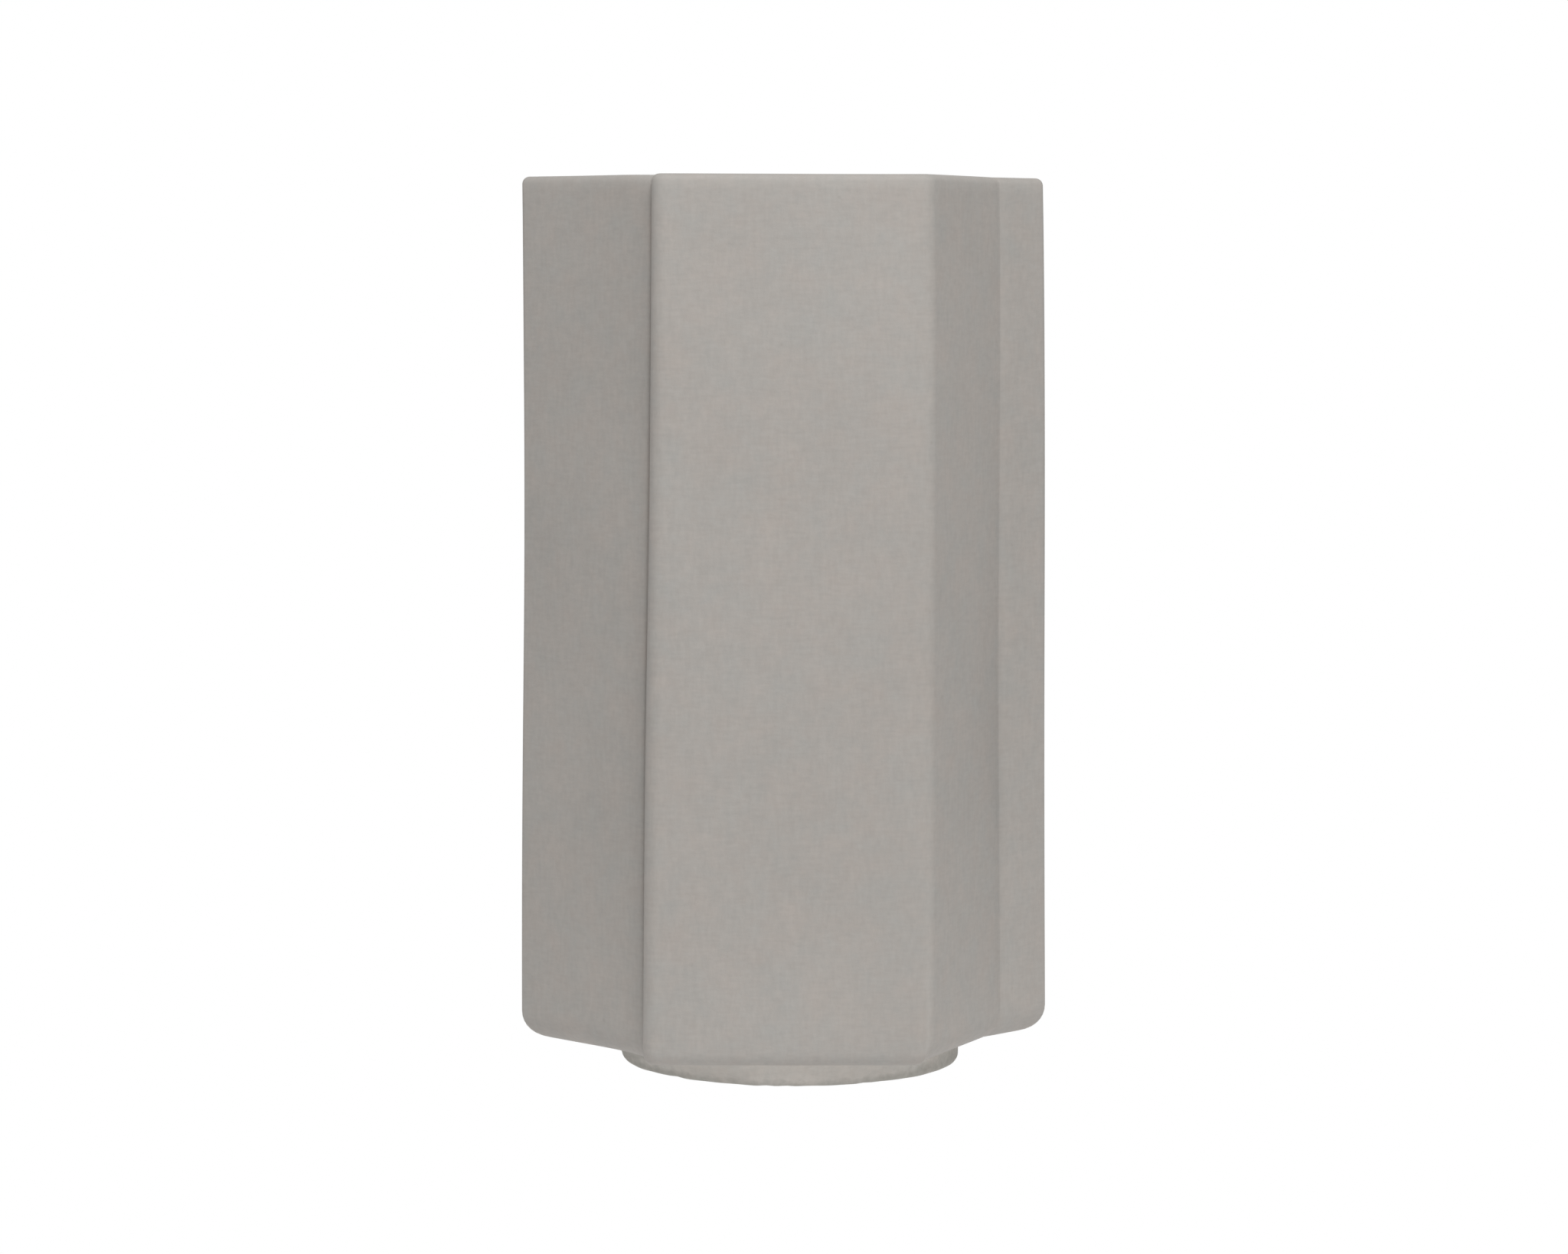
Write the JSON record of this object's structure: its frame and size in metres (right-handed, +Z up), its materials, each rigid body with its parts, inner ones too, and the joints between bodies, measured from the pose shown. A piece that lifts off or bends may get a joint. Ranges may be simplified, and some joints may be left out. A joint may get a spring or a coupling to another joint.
{
  "type": "hanging wall vase",
  "caption": "Tall folded stoneware vase with a lapped seam and a round foot, open at the top, that hooks over a bevelled bar on the wall.",
  "frame": {"origin": "on the wall's surface, midway between the two wall plugs", "axes": "+Y into the wall, +Z up, +X to the right seen from the front; the vase faces -Y"},
  "size_m": [0.1422, 0.1537, 0.2385],
  "materials": {
    "stoneware": "matte warm grey, fine mottling",
    "foot_stoneware": "matte, unglazed, slightly worn edge",
    "bar_aluminium": "extruded, satin",
    "black_rubber": "matte",
    "pad_silicone": "matte, translucent white",
    "stainless_steel": "satin",
    "zinc_steel": "zinc plated",
    "plug_nylon": "matte grey nylon"
  },
  "bodies": {
    "wall_mount": {"wall_bar": "bar_aluminium", "wall_screws": "zinc_steel", "wall_plugs": "plug_nylon"},
    "vase": {"vessel_wall": "stoneware", "vessel_floor": "stoneware", "foot_ring": "foot_stoneware", "hanger_bar": "bar_aluminium", "bar_gasket": "black_rubber", "hanger_bolts": "stainless_steel", "seal_washers": "black_rubber", "flat_washers": "stainless_steel", "cap_nuts": "stainless_steel", "wall_pads": "pad_silicone"}
  },
  "joints": [
    {"name": "lift_off", "type": "slide", "parent": "wall_mount", "child": "vase", "axis": [0, -0.7071, 0.7071], "range_m": [0, 0.045]}
  ]
}
